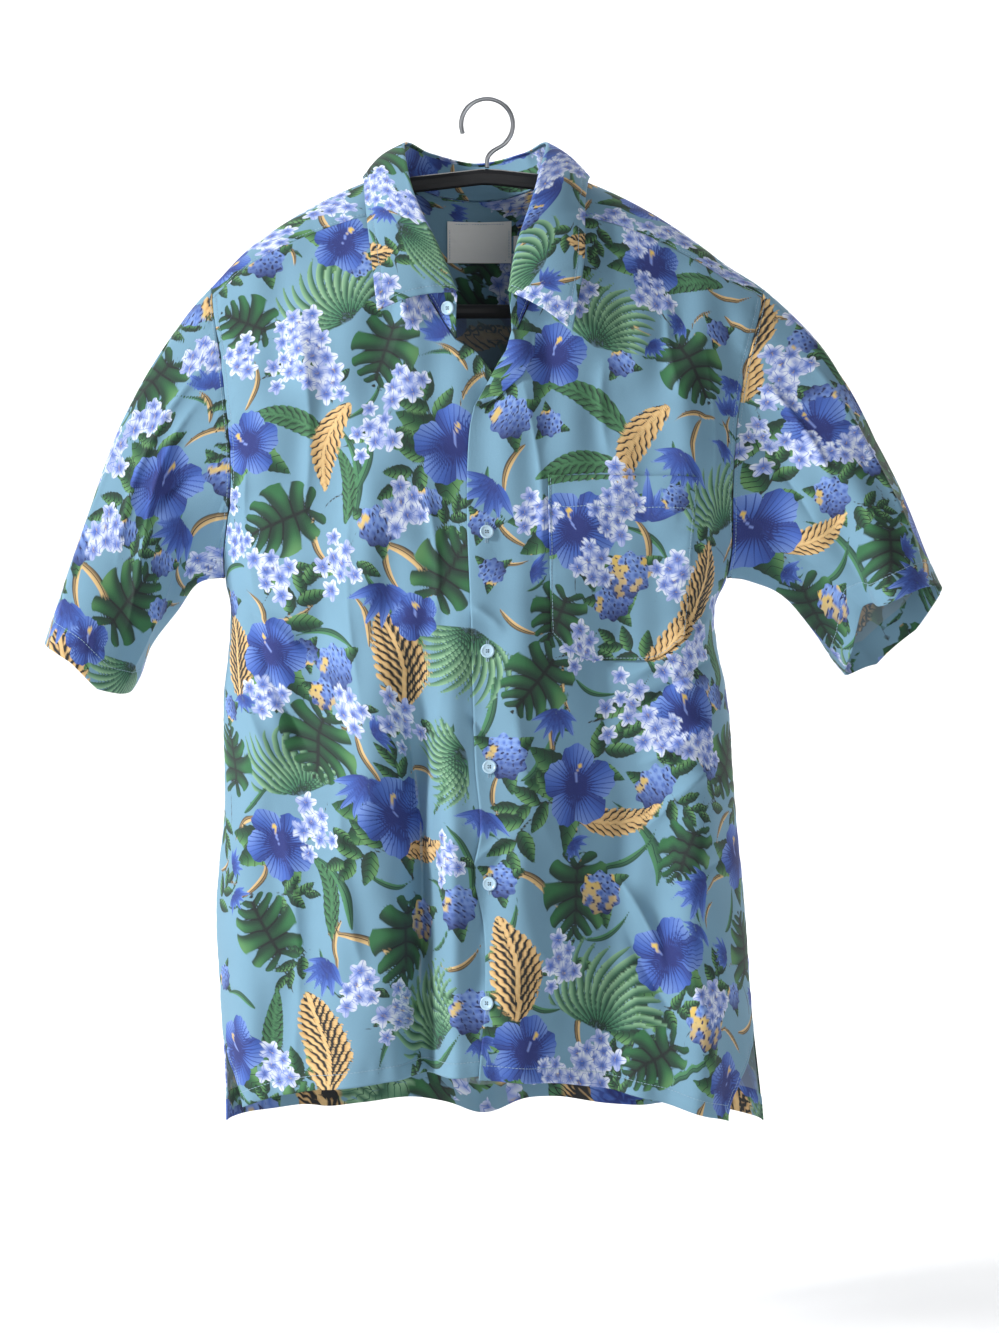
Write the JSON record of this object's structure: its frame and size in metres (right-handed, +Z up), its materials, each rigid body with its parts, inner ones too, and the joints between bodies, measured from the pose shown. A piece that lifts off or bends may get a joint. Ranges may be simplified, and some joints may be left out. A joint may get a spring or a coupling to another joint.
{
  "type": "short-sleeved hawaiian shirt on a hanger",
  "caption": "Short-sleeved tropical print shirt, buttoned and hanging from a plain black clothes hanger, with an open collar and a chest pocket.",
  "frame": {"origin": "inside top of the hanger's hook, where the rail carries it", "axes": "+Z up, -Y out of the shirt's front towards the viewer, +X to the viewer's right, which is the wearer's left"},
  "size_m": [0.7565, 0.213, 0.87],
  "materials": {
    "cloth": "matte",
    "label": "matte",
    "button": "gloss",
    "hanger": "matte",
    "hook": "brushed"
  },
  "bodies": {
    "root": {"front_right": "cloth", "front_left": "cloth", "yoke": "cloth", "back": "cloth", "sleeve_right": "cloth", "sleeve_left": "cloth", "collar_stand": "cloth", "collar_fall": "cloth", "front_facing": "cloth", "pocket": "cloth", "button_1": "button", "button_2": "button", "button_3": "button", "button_4": "button", "button_5": "button", "button_stand": "button", "neck_label": "label", "size_tab": "label", "hanger": "hanger", "hanger_hook": "hook"}
  },
  "joints": []
}
